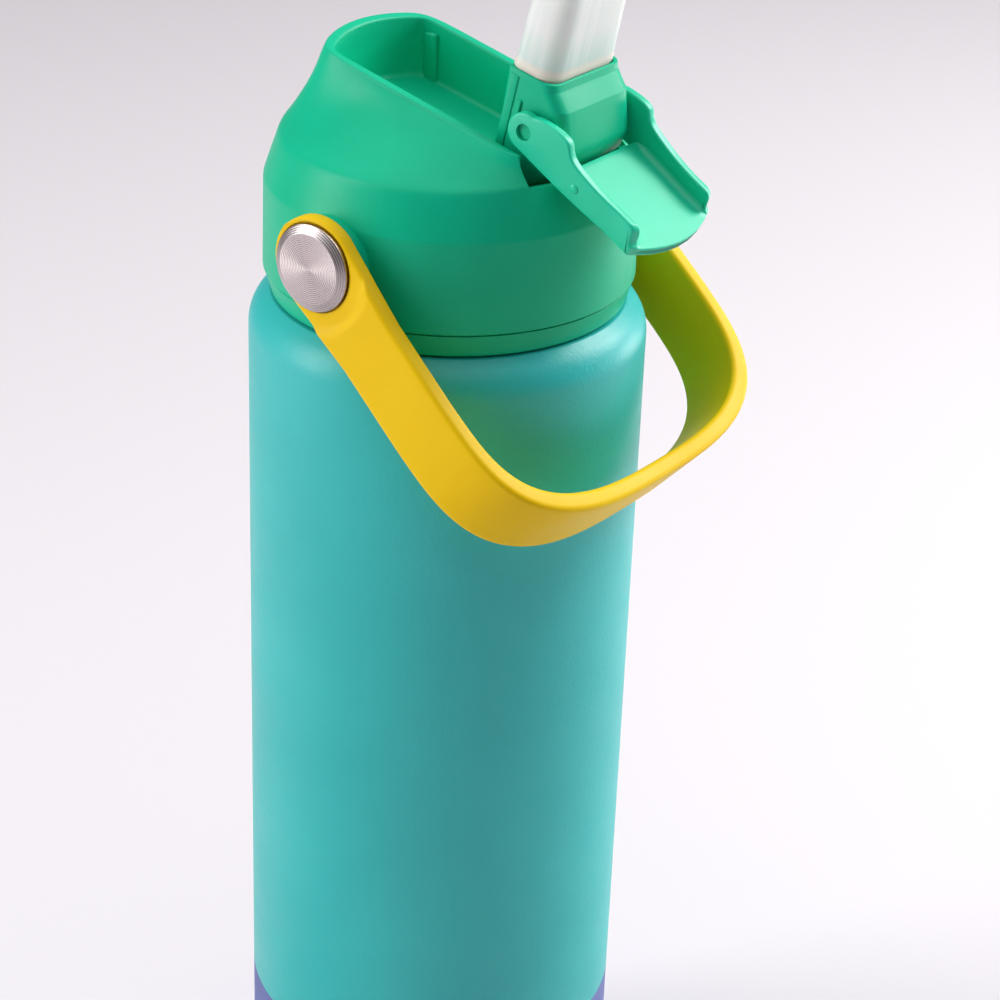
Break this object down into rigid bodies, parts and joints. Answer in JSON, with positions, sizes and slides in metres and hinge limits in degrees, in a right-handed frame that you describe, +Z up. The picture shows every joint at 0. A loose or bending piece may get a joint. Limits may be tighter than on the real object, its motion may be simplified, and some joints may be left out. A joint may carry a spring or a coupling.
{
  "type": "insulated water bottle",
  "caption": "Slim double-walled drinking bottle with a screw lid, a flip-up straw spout under a hinged cover, and a swinging loop handle.",
  "frame": {"origin": "centre of the flat underside of the base boot, on the bottle's axis", "axes": "+Z up along the bottle's axis; -Y towards the side the spout, its open cover and the resting handle point to; the handle's pivots lie on X"},
  "size_m": [0.0792, 0.087, 0.2598],
  "materials": {
    "body_coat": "fine textured powder coat",
    "boot_silicone": "matte",
    "flask_steel": "electropolished",
    "lid_plastic": "fine grained",
    "clear_silicone": "translucent satin",
    "seal_rubber": "matte",
    "pin_steel": "ground",
    "cap_steel": "spun brushed",
    "insert_brass": "turned",
    "strap_rubber": "matte"
  },
  "bodies": {
    "bottle": {"base_boot": "boot_silicone", "outer_shell": "body_coat", "bottom_plate": "flask_steel", "inner_flask": "flask_steel", "vacuum_getter": "flask_steel", "neck_thread": "flask_steel"},
    "gasket": {"lid_gasket": "clear_silicone"},
    "lid": {"lid_liner": "lid_plastic", "liner_thread": "lid_plastic", "lid_shell": "lid_plastic", "straw_socket": "clear_silicone", "straw": "clear_silicone", "vent_valve": "clear_silicone", "spout_seal": "seal_rubber", "spout_pin_left": "pin_steel", "spout_pin_right": "pin_steel", "pivot_insert_left": "insert_brass", "pivot_insert_right": "insert_brass", "pivot_washer_left": "seal_rubber", "pivot_washer_right": "seal_rubber", "pivot_screw_left": "pin_steel", "pivot_screw_right": "pin_steel", "pivot_cap_left": "cap_steel", "pivot_cap_right": "cap_steel"},
    "spout": {"spout_carrier": "lid_plastic", "mouthpiece": "clear_silicone", "cover_pin_left": "lid_plastic", "cover_pin_right": "lid_plastic"},
    "cover": {"spout_cover": "lid_plastic"},
    "handle": {"handle": "strap_rubber", "bush_left": "seal_rubber", "bush_right": "seal_rubber"}
  },
  "joints": [
    {"name": "lid_rise", "type": "slide", "parent": "bottle", "child": "gasket", "axis": [0, 0, 1], "range_m": [0, 0.005]},
    {"name": "lid_turn", "type": "hinge", "parent": "gasket", "child": "lid", "pos_m": [0, 0, 0.2], "axis": [0, 0, 1], "range_deg": [0, 450]},
    {"name": "spout_fold", "type": "hinge", "parent": "lid", "child": "spout", "pos_m": [0, -0.019, 0.224], "axis": [-1, 0, 0], "range_deg": [0, 90]},
    {"name": "cover_flip", "type": "hinge", "parent": "spout", "child": "cover", "pos_m": [0, -0.0245, 0.23331], "axis": [-1, 0, 0], "range_deg": [0, 107.8]},
    {"name": "handle_swing", "type": "hinge", "parent": "lid", "child": "handle", "pos_m": [0, 0, 0.21], "axis": [-1, 0, 0], "range_deg": [0, 265.6]}
  ],
  "couplings": [
    {"joint": "lid_rise", "follows": "lid_turn", "m_per_rad": 0.00063662}
  ]
}
